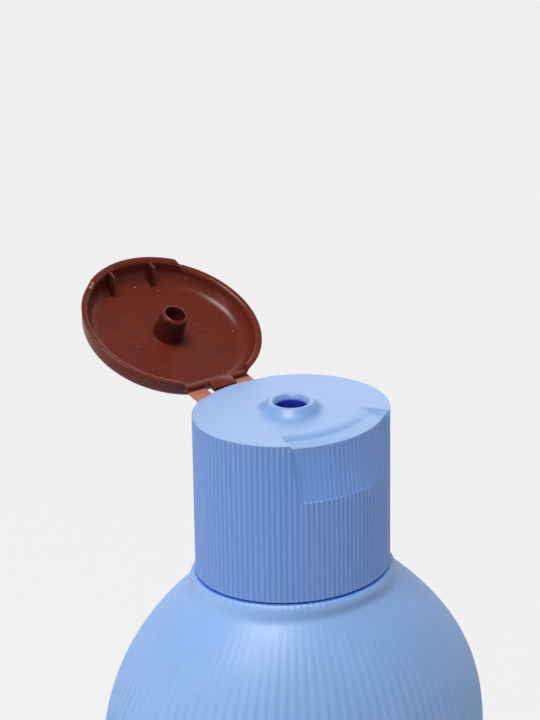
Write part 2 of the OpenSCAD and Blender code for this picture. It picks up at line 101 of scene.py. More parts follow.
# each deck row: how far in from the edge, the arc it keeps within (past LEDGE_R), and how low it lies
DECK_ROWS = ((0.03, None, 0.03), (0.1, None, 0.0), (0.4, 3.0, 0.0), (0.6, 2.3, 0.0), (0.8, 1.6, 0.0),
             (1.0, 0.9, 0.0), (1.2, 0.35, 0.0), (1.4, 0.0, 0.0), (1.6, -0.3, 0.0), (1.8, -0.7, 0.0),
             (2.1, -1.2, 0.0), (2.4, -1.7, 0.0), (2.7, -2.1, 0.0), (3.0, -2.4, 0.0))
LIP_PROFILE = ((7.4, 0.0), (6.95, 0.015), (6.6, 0.05), (6.3, 0.11), (6.05, 0.19), (5.8, 0.31), (5.55, 0.47),
               (5.3, 0.67), (5.05, 0.9), (4.8, 1.14), (4.6, 1.33), (4.42, 1.49), (4.25, LIP_H - 0.12),
               (4.05, LIP_H - 0.03), (3.85, LIP_H), (3.68, LIP_H - 0.02), (3.5, LIP_H - 0.1), (3.34, 1.5),
               (3.2, 1.29), (3.06, 1.05), (2.94, 0.84), (THROAT_R, 0.7), (THROAT_R, -0.6),
               (THROAT_R, -THROAT_H), (THROAT_R + THROAT_WALL, -THROAT_H),
               (THROAT_R + THROAT_WALL, -DECK_T), (10.3, -DECK_T), (11.0, -DECK_T))
# how high the throat's painted shade reaches
THROAT_PAINT_TOP = 0.65
RECESS_CUTS = (0.0, 0.12, 0.3, 0.55, 0.8, 1.1)
CAP_INSIDE_ROWS = (-DECK_T - 1.2, -12.0, -CAP_H)

# sizes of the lid and its straps
HINGE_BACK, HINGE_UP = 17.61, 0.39
LID_OPEN = math.radians(152.6)
LID_SKEW = math.radians(3.0)
LID_GAP = 0.27
LID_A, LID_B = 18.24, 17.2
LID_H, LID_ROUND, LID_LEAN = 4.5, 2.16, 0.74
LID_BACK, LID_BACK_T = 15.7, 1.1
RIM_T, RIM_SOFT, RIM_INNER, RIM_INNER_IN = 1.2, 0.22, 0.75, 0.2
DISH_DEPTH, DISH_ROUND = 3.47, 1.9
WALL_START, WALL_RUN, WALL_CURVE, WALL_IN, WALL_RUN_POWER = 0.85, 3.4, 2.5, 0.22, 1.3
TAB_DROP, TAB_X, TAB_SLOPE = 0.9, 10.1, 0.9
BACK_NOTCH, NOTCH_X, NOTCH_CORNER_X, NOTCH_WALL = 1.2, 7.6, 7.45, 0.78
PLUG_PROFILE = ((3.75, DISH_DEPTH), (3.45, DISH_DEPTH), (3.39, DISH_DEPTH - 0.05), (3.31, DISH_DEPTH - 0.05),
                (3.25, DISH_DEPTH), (3.05, DISH_DEPTH - 0.02), (3.0, DISH_DEPTH - 0.14),
                (2.96, DISH_DEPTH - 0.5), (2.54, -1.35), (2.48, -1.62), (2.38, -1.82), (2.24, -1.96),
                (2.12, -2.03), (2.03, -2.04), (1.98, -1.98), (1.95, -1.8), (1.9, -1.0), (1.8, 0.5),
                (1.55, 0.9), (1.0, 1.0))
PLUG_FOOT_R, PLUG_SIDE_R, PLUG_BORE_R, PLUG_SIDE_Z = 2.95, 2.3, 2.0, -1.3
GUSSET_X, GUSSET_T, GUSSET_BEVEL = 4.82, 0.65, 0.1
EJECTOR_X, EJECTOR_R = 7.7, 1.7
EJECTOR_PROFILE = ((0.12, 0.02), (0.05, -0.07), (-0.05, -0.07), (-0.12, 0.02))
WEB_W, WEB_BEVEL = 5.4, 0.12
STRAP_IN_X, STRAP_OUT_X, STRAP_T, STRAP_SAG = 3.3, 7.3, 0.36, 0.1
STRAP_ROOT_Y, STRAP_ROOT_Z, STRAP_LID_Z, STRAP_OVER = 16.4, -1.6, 2.0, 0.4

# colours of the plastics, and of the painted shade that stands for shadow on some of them
CLOSURE_BLUE = (0.180, 0.310, 0.58)
# painted shade: the skirt's sides darker and bluer than the lit deck, more so in the grooves
SKIRT_SHADE_BLUE = (0.166, 0.298, 0.62)
GROOVE_SHADE_BLUE = (0.122, 0.245, 0.59)
BOTTLE_BLUE = (0.201, 0.349, 0.64)
# painted shade deep in the spout's throat
THROAT_SHADE_BLUE = (0.014, 0.028, 0.33)
# painted shade in the gap between the skirt's foot and the bottle's rim
GAP_SHADE_BLUE = (0.025, 0.12, 0.52)
LID_BROWN = (0.125, 0.0182, 0.0093)
# painted shade on the lid's plug and on the gussets' shaded sides
BROWN_PAINTED_SHADE = (0.062, 0.009, 0.005)
STRAP_COPPER = (0.42, 0.148, 0.102)
DARK_SPECK = (0.05, 0.07, 0.16)
PALE_FLECK = (0.75, 0.83, 0.95)
LID_DUST = (0.62, 0.50, 0.46)

# the studio: the way behind the object as the camera sees it, the fill light and the paper's white
BEHIND = (0.669, 0.743, 0.0)
AIR_LIGHT = 0.43
PAPER = 0.868
FLOOR_SIZE = 12.0


def smooth(x):
    """0 below 0, 1 above 1, and a soft S between."""
    x = min(max(x, 0.0), 1.0)
    return x * x * (3 - 2 * x)


def oval_r(a, b, t):
    """Distance from the axis to an oval with these half axes, at angle t."""
    return 1 / math.hypot(math.cos(t) / a, math.sin(t) / b)


def oval_point(a, b, t, z):
    """The point of that oval at angle t and height z."""
    r = oval_r(a, b, t)
    return (r * math.cos(t), r * math.sin(t), z)


def even_turns(count):
    """Angles in equal steps, from the front."""
    return [FRONT + math.tau * i / count for i in range(count)]


def circle_loop(bm, count, angles=None):
    """A closed loop of vertices in order of angle, on a unit circle."""
    made = bmesh.ops.create_circle(bm, segments=count, radius=1.0)["verts"]
    loop = sorted(made, key=lambda v: (math.atan2(v.co.y, v.co.x) - FRONT + 1e-6) % math.tau)
    if angles:
        for v, t in zip(loop, angles):
            v.co = (math.cos(t), math.sin(t), 0)
    return loop


def loop_edges(bm, loop):
    return [bm.edges.get((a, b)) for a, b in zip(loop, loop[1:] + loop[:1])]


def next_loop(bm, loop):
    """Extrudes a closed loop and returns the new vertices in the same order."""
    made = bmesh.ops.extrude_edge_only(bm, edges=loop_edges(bm, loop))["geom"]
    fresh = {v for v in made if isinstance(v, bmesh.types.BMVert)}
    return [next(e.other_vert(v) for e in v.link_edges if e.other_vert(v) in fresh) for v in loop]


def lay(loop, place):
    """Puts each vertex of a loop where place says for its number."""
    for i, v in enumerate(loop):
        v.co = place(i)


def lay_round(loop, a, b, z):
    """Lays a loop on an oval by even turns, or on a circle where a equals b."""
    turns = even_turns(len(loop))
    lay(loop, lambda i: (a * math.cos(turns[i]), b * math.sin(turns[i]), z))


def fill_between(bm, loops, up):
    """Flat fill between loops that lie in one plane."""
    edges = [e for loop in loops for e in loop_edges(bm, loop)]
    bmesh.ops.triangle_fill(bm, use_beauty=True, edges=edges, normal=(0, 0, 1 if up else -1))


def finish_piece(bm, name, material, body, sharp=35.0, move=None):
    """Turns a bmesh in millimetres into a piece in metres, in place."""
    bmesh.ops.remove_doubles(bm, verts=bm.verts, dist=1e-4)
    bmesh.ops.recalc_face_normals(bm, faces=bm.faces)
    if move:
        bmesh.ops.transform(bm, matrix=move, verts=bm.verts)
    bmesh.ops.scale(bm, vec=(MM, MM, MM), verts=bm.verts)
    for f in bm.faces:
        f.smooth = True
    for e in bm.edges:
        e.smooth = len(e.link_faces) == 2 and e.calc_face_angle(0.0) < math.radians(sharp)
    mesh = bpy.data.meshes.new(name)
    bm.to_mesh(mesh)
    bm.free()
    piece = bpy.data.objects.new(name, mesh)
    bpy.context.scene.collection.objects.link(piece)
    mesh.materials.append(material)
    if body:
        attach(piece, body)
    return piece


# finishes

class Nodes:
    """Short ways to add nodes to one node tree."""

    def __init__(self, tree):
        self.tree = tree

    def node(self, kind, inputs=(), **settings):
        made = self.tree.nodes.new(kind)
        for key, value in settings.items():
            setattr(made, key, value)
        for key, value in dict(inputs).items():
            if isinstance(value, bpy.types.NodeSocket):
                self.tree.links.new(value, made.inputs[key])
            else:
                made.inputs[key].default_value = value
        return made

    def ranged(self, value, low, high, to_low, to_high):
        return self.node("ShaderNodeMapRange", {"Value": value, "From Min": low, "From Max": high,
                                                "To Min": to_low, "To Max": to_high}).outputs["Result"]

    def math(self, operation, a, b=0.0):
        return self.node("ShaderNodeMath", {0: a, 1: b}, operation=operation).outputs[0]

    def times(self, first, *others):
        for other in others:
            first = self.math("MULTIPLY", first, other)
        return first

    def split(self, place):
        outputs = self.node("ShaderNodeSeparateXYZ", {"Vector": place}).outputs
        return outputs["X"], outputs["Y"], outputs["Z"]


class Finish(Nodes):
    """A moulded plastic and its shader. Sizes are in millimetres."""

    def __init__(self, name, rough, specular=0.5):
        self.material = bpy.data.materials.new(name)
        self.material.use_nodes = True
        super().__init__(self.material.node_tree)
        self.shader = self.tree.nodes["Principled BSDF"]
        self.shader.inputs["Roughness"].default_value = rough
        self.shader.inputs["Specular IOR Level"].default_value = specular
        self.place = self.tree.nodes.new("ShaderNodeTexCoord").outputs["Object"]

    def noise(self, size, detail=2.0):
        """Soft random values with features of about this size."""
        return self.node("ShaderNodeTexNoise", {"Vector": self.place, "Scale": 1 / (size * MM),
                                                "Detail": detail}).outputs["Fac"]

    def mix(self, share, a, b):
        made = self.node("ShaderNodeMix", data_type="RGBA")
        for socket, value in zip([k for k in made.inputs if k.enabled], (share, a, b)):
            if isinstance(value, bpy.types.NodeSocket):
                self.tree.links.new(value, socket)
            else:
                socket.default_value = (*value, 1)
        return [k for k in made.outputs if k.enabled][0]

    def clouded(self, colour, values, spread, darkest):
        """The colour, darkened down to this share of itself where the random values are high."""
        cloud = self.ranged(values, 0.5 - spread, 0.5 + spread, 0.0, 1.0)
        return self.mix(cloud, colour, tuple(c * darkest for c in colour))

    def specks(self, cell, size, rarity):
        """Small round specks, one in some of the cells of this size."""
        cells = self.node("ShaderNodeTexVoronoi", {"Vector": self.place, "Scale": 1 / (cell * MM)})
        near = self.ranged(cells.outputs["Distance"], size / cell * 0.6, size / cell, 1.0, 0.0)
        pick = self.node("ShaderNodeSeparateColor", {"Color": cells.outputs["Color"]}).outputs["Red"]
        return self.times(near, self.math("GREATER_THAN", pick, 1 - rarity))

    def below(self, z, low, high):
        """1 below the height low, 0 above the height high."""
        return self.ranged(z, low * MM, high * MM, 1.0, 0.0)

    def grain(self, height, strength, deep):
        bump = self.node("ShaderNodeBump", {"Height": height, "Strength": strength, "Distance": deep * MM})
        self.tree.links.new(bump.outputs["Normal"], self.shader.inputs["Normal"])

    def paint(self, colour):
        self.tree.links.new(colour, self.shader.inputs["Base Color"])

    def vary_rough(self, size, low, high):
        rough = self.ranged(self.noise(size), 0.3, 0.7, low, high)
        self.tree.links.new(rough, self.shader.inputs["Roughness"])


def groove_shade_share(f, x, y, z):
    """Painted shade mask: 1 in the floor of a groove of the skirt, 0 on a rib and in the relief, and between
    in the recess.
    """
    recess_shade = 0.6
    turn = f.math("SUBTRACT", f.math("ARCTAN2", y, x), FRONT)
    wave = f.ranged(f.math("COSINE", f.times(turn, CAP_RIBS)), -1.0, 1.0, 0.0, 1.0)
    side = f.math("ABSOLUTE", x)
    recess_foot = (DECK_Z - RECESS_H) * MM
    edge = f.ranged(z, recess_foot, DECK_Z * MM, RECESS_FOOT_X * MM, RECESS_TOP_X * MM)
    recess = f.times(f.math("LESS_THAN", side, edge), f.math("LESS_THAN", y, 0.0),
                     f.math("GREATER_THAN", z, recess_foot))
    relief = f.times(f.math("LESS_THAN", side, RELIEF_X * MM), f.math("GREATER_THAN", y, 0.0),
                     f.math("GREATER_THAN", z, (DECK_Z - RELIEF_H) * MM))
    plain = f.math("SUBTRACT", 1.0, f.math("MAXIMUM", recess, relief))
    return f.math("MAXIMUM", f.times(wave, plain), f.times(recess, recess_shade))


def skirt_side_shade(f, x, y, z):
    """Painted shade mask for the skirt's sides: 1 on the skirt below the deck's edge, 0 on the deck and its
    ledge.
    """
    ledge = f.ranged(z, (DECK_Z - 1.2) * MM, (DECK_Z - 0.95) * MM, 0.0, 1.0)
    ledge = f.times(ledge, f.math("LESS_THAN", y, 0.0),
                    f.math("LESS_THAN", f.math("ABSOLUTE", x), LEDGE_END_X * MM))
    return f.times(f.below(z, DECK_Z - 0.6, DECK_Z - 0.1), f.math("SUBTRACT", 1.0, ledge))


def funnel_shade(f, x, y, z):
    """1 in the throat and low in the lip's funnel, where painted shade turns the blue deep."""
    reach = f.math("SQRT", f.math("ADD", f.math("POWER", x, 2.0), f.math("POWER", y, 2.0)))
    low = f.below(z, DECK_Z + 0.7, DECK_Z + 1.2)
    return f.times(f.below(reach, 3.5, 3.8), f.math("POWER", low, 1.6))


def closure_finish():
    """Satin blue of the closure base, with a fine grain and a few dark specks, and painted shade on the
    skirt's sides, in its grooves, down the throat and in the gap at its foot.
    """
    f = Finish("closure_satin_blue", 0.38)
    colour = f.clouded(CLOSURE_BLUE, f.noise(6.0, 3.0), 0.15, 0.95)
    colour = f.mix(f.times(f.specks(3.2, 0.13, 0.5), 0.75), colour, DARK_SPECK)
    x, y, z = f.split(f.place)
    # painted shade: the skirt's sides darker and bluer than the lit deck, deeper in the grooves and the
    # recess
    skirt = f.mix(groove_shade_share(f, x, y, z), SKIRT_SHADE_BLUE, GROOVE_SHADE_BLUE)
    colour = f.mix(skirt_side_shade(f, x, y, z), colour, skirt)
    # painted shade deep in the throat
    colour = f.mix(funnel_shade(f, x, y, z), colour, THROAT_SHADE_BLUE)
    # painted shade in the gap at the skirt's foot
    foot_z = DECK_Z - CAP_H
    f.paint(f.mix(f.below(z, foot_z, foot_z + 0.08), colour, GAP_SHADE_BLUE))
    f.vary_rough(0.8, 0.34, 0.42)
    f.grain(f.noise(0.35, 3.0), 0.12, 0.05)
    return f.material


def bottle_finish():
    """Satin sky blue of the blown bottle, with the mould's parting line, small pale flecks, and painted
    shade on the rim under the skirt.
    """
    f = Finish("bottle_satin_blue", 0.45, specular=0.6)
    colour = f.clouded(BOTTLE_BLUE, f.noise(14.0, 3.0), 0.15, 0.95)
    colour = f.mix(f.times(f.specks(3.6, 0.12, 0.7), 0.5), colour, PALE_FLECK)
    x, y, z = f.split(f.place)
    # painted shade on the rim's top under the skirt's edge
    gap_shade_share = f.ranged(z, (RIM_Z - 0.24) * MM, (RIM_Z - 0.15) * MM, 0.0, 1.0)
    f.paint(f.mix(gap_shade_share, colour, GAP_SHADE_BLUE))
    f.vary_rough(1.5, 0.42, 0.49)
    seam = f.below(f.math("ABSOLUTE", y), 0.05, 0.22)
    f.grain(f.math("ADD", seam, f.times(f.noise(0.5, 3.0), 0.22)), 0.35, 0.06)
    return f.material


def throat_painted_shade():
    """Painted shade for the inside of the spout's bore: a deep, dull blue."""
    f = Finish("spout_bore_painted_shade", 0.7, specular=0.1)
    f.paint(f.clouded(THROAT_SHADE_BLUE, f.noise(1.0), 0.2, 0.9))
    return f.material


def lid_finish():
    """Red-brown of the lid: half gloss, with dust specks."""
    f = Finish("lid_red_brown", 0.29, specular=0.27)
    colour = f.clouded(LID_BROWN, f.noise(5.0, 3.0), 0.15, 0.9)
    dust = f.math("MAXIMUM", f.specks(2.4, 0.14, 0.7), f.specks(1.4, 0.09, 0.3))
    f.paint(f.mix(f.times(dust, 0.6), colour, LID_DUST))
    f.vary_rough(1.2, 0.26, 0.33)
    return f.material


def brown_shade_paint():
    """Painted shade for the lid: a deeper brown on the plug and on the shaded sides of the gussets."""
    f = Finish("lid_painted_shade_brown", 0.36, specular=0.2)
    f.paint(f.clouded(BROWN_PAINTED_SHADE, f.noise(1.5), 0.2, 0.85))
    f.grain(f.noise(0.5, 3.0), 0.1, 0.05)
    return f.material


def strap_finish():
    """Thin stretched hinge plastic, paler than the lid, with fine streaks along the pull."""
    f = Finish("strap_copper_brown", 0.34)
    streak = f.node("ShaderNodeMapping", {"Vector": f.place, "Scale": (3000.0, 500.0, 500.0)})
    lines = f.node("ShaderNodeTexNoise", {"Vector": streak.outputs["Vector"], "Scale": 1.0}).outputs["Fac"]
    f.paint(f.clouded(STRAP_COPPER, lines, 0.2, 0.88))
    f.grain(lines, 0.15, 0.04)
    return f.material


bottle_satin = bottle_finish()
closure_satin = closure_finish()
spout_bore = throat_painted_shade()
lid_brown = lid_finish()
lid_painted_shade = brown_shade_paint()
strap_copper = strap_finish()


# bottle

def shoulder_axes(s):
    """Half axes of the shoulder, s = 0 at its top and 1 at its foot."""
    return (TOP_A + (BODY_A - TOP_A) * (1 - (1 - s) ** BULGE_A),
            TOP_B + (BODY_B - TOP_B) * (1 - (1 - s) ** BULGE_B))


def flank(q, foot, foot_lean, edge, edge_lean, rise):
    """A soft curve from foot to edge, q = 0 to 1, with the lean it has at each end."""
    h00, h10 = 2 * q ** 3 - 3 * q ** 2 + 1, q ** 3 - 2 * q ** 2 + q
    h01, h11 = 3 * q ** 2 - 2 * q ** 3, q ** 3 - q ** 2
    return h00 * foot - h10 * foot_lean * rise + h01 * edge - h11 * edge_lean * rise


def rim_rows():
    """From the dome up the hollow flank under the skirt, then over the broad round of the edge."""
    foot_a, foot_b = shoulder_axes(FLANK_FOOT)
    foot_z = SHOULDER_Z - SHOULDER_H * FLANK_FOOT
    lean_a = (BODY_A - TOP_A) * BULGE_A * (1 - FLANK_FOOT) ** (BULGE_A - 1) / SHOULDER_H
    lean_b = (BODY_B - TOP_B) * BULGE_B * (1 - FLANK_FOOT) ** (BULGE_B - 1) / SHOULDER_H
    edge_a, edge_b = CAP_A + EDGE_OUT, CAP_B + EDGE_OUT
    edge_z = RIM_Z - EDGE_ROUND * (1 - math.cos(EDGE_TURN))
    edge_lean = math.cos(EDGE_TURN) / math.sin(EDGE_TURN)
    rise = edge_z - foot_z
    rows = []
    flank_steps, round_steps = 12, 8
    for k in range(1, flank_steps + 1):
        q = k / flank_steps
        rows.append((flank(q, foot_a, lean_a, edge_a, edge_lean, rise),
                     flank(q, foot_b, lean_b, edge_b, edge_lean, rise),
                     foot_z + rise * q, TOOTH_DEPTH * max(0.0, 3 * q - 2)))
    for k in range(round_steps - 1, -1, -1):
        q = EDGE_TURN * k / round_steps
        inset = EDGE_ROUND * (math.sin(EDGE_TURN) - math.sin(q))
        rows.append((edge_a - inset, edge_b - inset, RIM_Z - EDGE_ROUND * (1 - math.cos(q)),
                     TOOTH_DEPTH * min(1.0, k / 4)))
    return rows


def bottle_rows():
    """Half axes, height and groove depth of each row, from the foot to the edge under the skirt."""
    rows = []
    foot_steps = 6
    for k in range(foot_steps + 1):
        q = math.pi / 2 * k / foot_steps
        inset = FOOT_ROUND * (1 - math.sin(q))
        rows.append((BODY_A - inset, BODY_B - inset, FOOT_ROUND * (1 - math.cos(q)),
                     BODY_RIB_DEPTH * smooth((k - 3) / 6)))
    rows += [(BODY_A, BODY_B, z, BODY_RIB_DEPTH) for z in SIDE_ROWS]
    # the dome: rows crowd towards its top, where the grooves fade out
    steps, crowding, least, growth = 36, 1.2, 0.02, 1.7
    for k in range(steps - 1, -1, -1):
        s = FLANK_FOOT + (1 - FLANK_FOOT) * (k / steps) ** crowding
        fade = min(1.0, least + (s - FLANK_FOOT) * growth)
        rows.append((*shoulder_axes(s), SHOULDER_Z - SHOULDER_H * s, BODY_RIB_DEPTH * fade))
    return rows + rim_rows()


def even_angles(a, b, count):
    """Angles that split an oval's outline into equal lengths, from the front."""
    fine = 7200
    points = [(oval_r(a, b, FRONT + math.tau * i / fine), FRONT + math.tau * i / fine)
              for i in range(fine + 1)]
    lengths = [0.0]
    for (r0, t0), (r1, t1) in zip(points, points[1:]):
        lengths.append(lengths[-1] + math.hypot(r1 * math.cos(t1) - r0 * math.cos(t0),
                                                r1 * math.sin(t1) - r0 * math.sin(t0)))
    angles, k = [], 0
    for i in range(count):
        target = lengths[-1] * i / count
        while lengths[k + 1] < target:
            k += 1
        share = (target - lengths[k]) / (lengths[k + 1] - lengths[k])
        angles.append(points[k][1] + share * math.tau / fine)
    return angles


def make_bottle():
    angles = even_angles(BODY_A, BODY_B, BODY_RIBS * PER_RIB)
    bm = bmesh.new()

    def ribbed(a, b, z, depth):
        def place(i):
            groove = (1 - math.cos(math.tau * i / PER_RIB)) / 2
            r = oval_r(a, b, angles[i]) - depth * groove ** BODY_GROOVE_POWER
            return (r * math.cos(angles[i]), r * math.sin(angles[i]), z)
        return place

    loop = foot = circle_loop(bm, len(angles), angles)
    for n, row in enumerate(bottle_rows()):
        if n:
            loop = next_loop(bm, loop)
        lay(loop, ribbed(*row))
    fill_between(bm, [foot], False)
    neck = circle_loop(bm, NECK_SIDES)
    lay_round(neck, NECK_R, NECK_R, RIM_Z)
    fill_between(bm, [loop, neck], True)
    for r, z in NECK_PROFILE:
        neck = next_loop(bm, neck)
        lay_round(neck, r, r, RIM_Z + z)
    # the inside, down to the floor
    turns = even_turns(len(neck))
    for s in INNER_SHOULDER_ROWS:
        neck = next_loop(bm, neck)
        a, b = shoulder_axes(s)
        z = SHOULDER_Z - SHOULDER_H * s - SHOULDER_WALL
        lay(neck, lambda i: oval_point(a - BODY_WALL, b - BODY_WALL, turns[i], z))
    for inset, z in INNER_FOOT_PROFILE:
        neck = next_loop(bm, neck)
        lay(neck, lambda i: oval_point(BODY_A - inset, BODY_B - inset, turns[i], z))
    fill_between(bm, [neck], True)
    piece = finish_piece(bm, "ribbed_bottle", bottle_satin, "bottle")
    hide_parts("bottle")


# closure

def recess_edge_x(z):
    """Half width of the thumb recess at height z below the deck."""
    return RECESS_FOOT_X + (RECESS_TOP_X - RECESS_FOOT_X) * (1 + z / RECESS_H)


def skirt_point(x, y, z):
    """Where a point of the plain skirt lies once ribs, recess, ledge and relief are cut."""
    t = math.atan2(y, x)
    plain = oval_r(CAP_A, CAP_B, t)
    amp = 1.0
    push = 0.0
    sink = 0.0
    side_x = abs(plain * math.cos(t))
    if y < 0 and z > -RECESS_H - 0.12:
        inside = recess_edge_x(min(z, 0)) - side_x
        if inside > 0:
            if z > -RECESS_H + 1e-4:
                amp = RECESS_SOFT * smooth((RIB_START_X - side_x) / RIB_START_RUN)
                deep = RECESS_FOOT_IN + (RECESS_LEAN - RECESS_FOOT_IN) * (1 + z / RECESS_H)
                push = deep * (1 - (1 - min(inside / RECESS_TURN, 1)) ** RECESS_TURN_POWER)
            elif z > -RECESS_H - 1e-4:
                sink = RECESS_SINK * smooth(inside / RECESS_TURN)
    if y > 0 and z > -RELIEF_H and side_x < RELIEF_X:
        side = min(1.0, (RELIEF_X - side_x) / RELIEF_TURN)
        foot = min(1.0, (z + RELIEF_H) / RELIEF_TURN)
        share = min(side, foot)
        amp = 1 - share
        sink = RELIEF_DEPTH * share
    # the grooves run out softly at the deck and at the foot
    at_deck = GROOVE_AT_DECK + (1 - GROOVE_AT_DECK) * smooth(-z / GROOVE_DECK_RUN)
    at_foot = GROOVE_AT_FOOT + (1 - GROOVE_AT_FOOT) * smooth((z + CAP_H) / GROOVE_FOOT_RUN)
    amp *= at_deck * at_foot
    wave = (1 + math.cos(CAP_RIBS * (t - FRONT))) / 2
    r = plain - CAP_RIB_DEPTH * GROOVE_SOFT * wave * amp - sink
    x, y = r * math.cos(t), r * math.sin(t) + push
    if z > -RECESS_H:
        z -= ledge_level(x, y) * ledge_share(x, y) * (1 + z / RECESS_H)
    return Vector((x, y, z))


def ledge_level(x, y):
    """How far the ledge lies below the deck: a soft step, then a slope down to the edge."""
    over = math.hypot(x, y - (LEDGE_R - LEDGE_FRONT)) - LEDGE_R
    if over < 0:
        return LEDGE_STEP * max(0.0, 1 + over / LEDGE_STEP_RUN) ** LEDGE_STEP_POWER
    fade = 1 - LEDGE_FADE * smooth((x - LEDGE_FADE_X) / LEDGE_FADE_RUN)
    return LEDGE_STEP + LEDGE_DROP * fade * min(over / (CAP_B - RECESS_LEAN - LEDGE_FRONT), 1.2)


def arc_reach(t, r):
    """Distance from the axis, at angle t, to the ledge's arc of radius r."""
    c = LEDGE_R - LEDGE_FRONT
    along = c * math.sin(t)
    return along + math.sqrt(along * along + r * r - c * c)


def ledge_share(x, y):
    """How far inside the ledge's two ends a point of the deck lies, 0 to 1."""
    if y >= 0:
        return 0.0
    inside = LEDGE_END_X - LEDGE_END_SLOPE * (y - LEDGE_END_Y) - abs(x)
    return smooth((inside + LEDGE_END_OUT) / (LEDGE_END_RIGHT if x > 0 else LEDGE_END_LEFT))


def open_loop(bm, level):
    """The open edge loop that lies at one height, in order from the front, turning to +X."""
    edges = [e for e in bm.edges if len(e.link_faces) == 1
             and all(abs(v.co.z - level) < 1e-5 for v in e.verts)]
    beside = {}
    for e in edges:
        for v in e.verts:
            beside.setdefault(v, []).append(e.other_vert(v))
    first = min(beside, key=lambda v: abs(v.co.x) + (0 if v.co.y < 0 else 1e3))
    loop = [first, max(beside[first], key=lambda v: v.co.x)]
    while True:
        ahead = [v for v in beside[loop[-1]] if v is not loop[-2]]
        if ahead[0] is first:
            return loop
        loop.append(ahead[0])


def cut_faces(bm, y_sign, floor, point, normal):
    """Cuts the faces of the front or back half above the height floor with a plane."""
    faces = []
    for f in bm.faces:
        centre = f.calc_center_median()
        if centre.y * y_sign > 0 and centre.z > floor:
            faces.append(f)
    verts = {v for f in faces for v in f.verts}
    edges = {e for f in faces for e in f.edges}
    bmesh.ops.bisect_plane(bm, geom=list(verts) + list(edges) + faces, dist=1e-5,
                           plane_co=point, plane_no=normal)


def make_skirt(bm):
    """The ribbed skirt with its recess and relief: returns its loop at the deck and at the foot."""
    angles = even_turns(CAP_RIBS * PER_RIB)
    loop = circle_loop(bm, len(angles), angles)
    lay(loop, lambda i: oval_point(CAP_A, CAP_B, angles[i], 0))
    for z in SKIRT_ROWS:
        loop = next_loop(bm, loop)
        lay(loop, lambda i: oval_point(CAP_A, CAP_B, angles[i], z))
    skirt_foot = loop
    slope = Vector((RECESS_H, 0, RECESS_TOP_X - RECESS_FOOT_X)).normalized()
    for side in (-1, 1):
        for u in RECESS_CUTS:
            cut_faces(bm, -1, -RECESS_H - 0.2, (side * (RECESS_TOP_X - u), 0, 0),
                      (side * slope.x, 0, -slope.z))
    for z in (-RELIEF_H, -RELIEF_H + RELIEF_TURN):
        cut_faces(bm, 1, -CAP_H, (0, 0, z), (0, 0, 1))
    for x in (RELIEF_X, RELIEF_X - RELIEF_TURN, RELIEF_TURN - RELIEF_X, -RELIEF_X):
        cut_faces(bm, 1, -RELIEF_H, (x, 0, 0), (1, 0, 0))
    deck_edge = open_loop(bm, 0.0)
    for v in bm.verts:
        v.co = skirt_point(*v.co)
    return deck_edge, skirt_foot


def make_deck(bm, deck_edge):
    """Rows from the ribbed edge to the flat middle of the deck: returns the innermost loop."""
    outer = [(v.co.x, v.co.y) for v in deck_edge]
    turn = [math.atan2(y, x) for x, y in outer]
    for v in deck_edge:
        v.co.z -= DECK_EDGE_DROP
    loop = deck_edge
    for inset, past, low in DECK_ROWS:
        loop = next_loop(bm, loop)
        for v, (x, y), t in zip(loop, outer, turn):
            r = math.hypot(x, y) - inset
            if past is not None:
                r = min(r, arc_reach(t, LEDGE_R + past))
            x, y = r * math.cos(t), r * math.sin(t)
            v.co = (x, y, -ledge_level(x, y) * ledge_share(x, y) - low)
    return loop


def make_closure():
    bm = bmesh.new()
    deck_edge, skirt_foot = make_skirt(bm)
    deck = make_deck(bm, deck_edge)
    lip = circle_loop(bm, LIP_SIDES)
    lay_round(lip, LIP_PROFILE[0][0], LIP_PROFILE[0][0], 0)
    fill_between(bm, [deck, lip], True)
    for r, z in LIP_PROFILE[1:]:
        lip = next_loop(bm, lip)
        lay_round(lip, r, r, z)
    inner_a, inner_b = CAP_A - CAP_RIB_DEPTH - CAP_WALL, CAP_B - CAP_RIB_DEPTH - CAP_WALL
    for z in CAP_INSIDE_ROWS:
        lip = next_loop(bm, lip)
        lay_round(lip, inner_a, inner_b, z)
    fill_between(bm, [skirt_foot, lip], False)
    # the throat's faces take the painted shade
    for f in bm.faces:
        centre = f.calc_center_median()
        if math.hypot(centre.x, centre.y) < THROAT_R + 0.01 and centre.z < THROAT_PAINT_TOP:
            f.material_index = 1
    piece = finish_piece(bm, "closure_shell", closure_satin, "bottle", sharp=40,
                         move=Matrix.Translation((0, 0, DECK_Z)))
    piece.data.materials.append(spout_bore)
    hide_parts("closure_base")


# lid

def swing():
    """Places a closed-lid shape at its stored open angle."""
    return (Matrix.Translation((0, HINGE_BACK, DECK_Z + HINGE_UP)) @ Matrix.Rotation(-LID_OPEN, 4, "X")
            @ Matrix.Translation((0, -HINGE_BACK, LID_GAP - HINGE_UP)) @ Matrix.Rotation(LID_SKEW, 4, "Z"))


def lid_angles(count):
    """Even angles, with the nearest ones moved to the corners of the tab and of the notch."""
    angles = even_turns(count)
    for side in (-1, 1):
        for x, y_sign in ((TAB_X, -1), (TAB_X + TAB_SLOPE, -1), (NOTCH_CORNER_X, 1)):
            t = math.atan2(y_sign * LID_B * math.sqrt(1 - (x / LID_A) ** 2), side * x)
            k = round((t - FRONT) % math.tau / math.tau * count) % count
            angles[k] = FRONT + (t - FRONT) % math.tau
    return angles


def rim_level(p):
    """Height of the lid's rim at a point: tab in front, notch over the flat back."""
    if p.y < 0:
        return -TAB_DROP * min(max((TAB_X + TAB_SLOPE - abs(p.x)) / TAB_SLOPE, 0), 1)
    return BACK_NOTCH if abs(p.x) < NOTCH_X else 0.0


def top_level(p, z):
    return 0.0


def edge_level(p, z):
    return rim_level(p)


def wall_level(p, z):
    """The top of the inner wall rises with the notch."""
    return max(0.0, rim_level(p) + NOTCH_WALL - z)


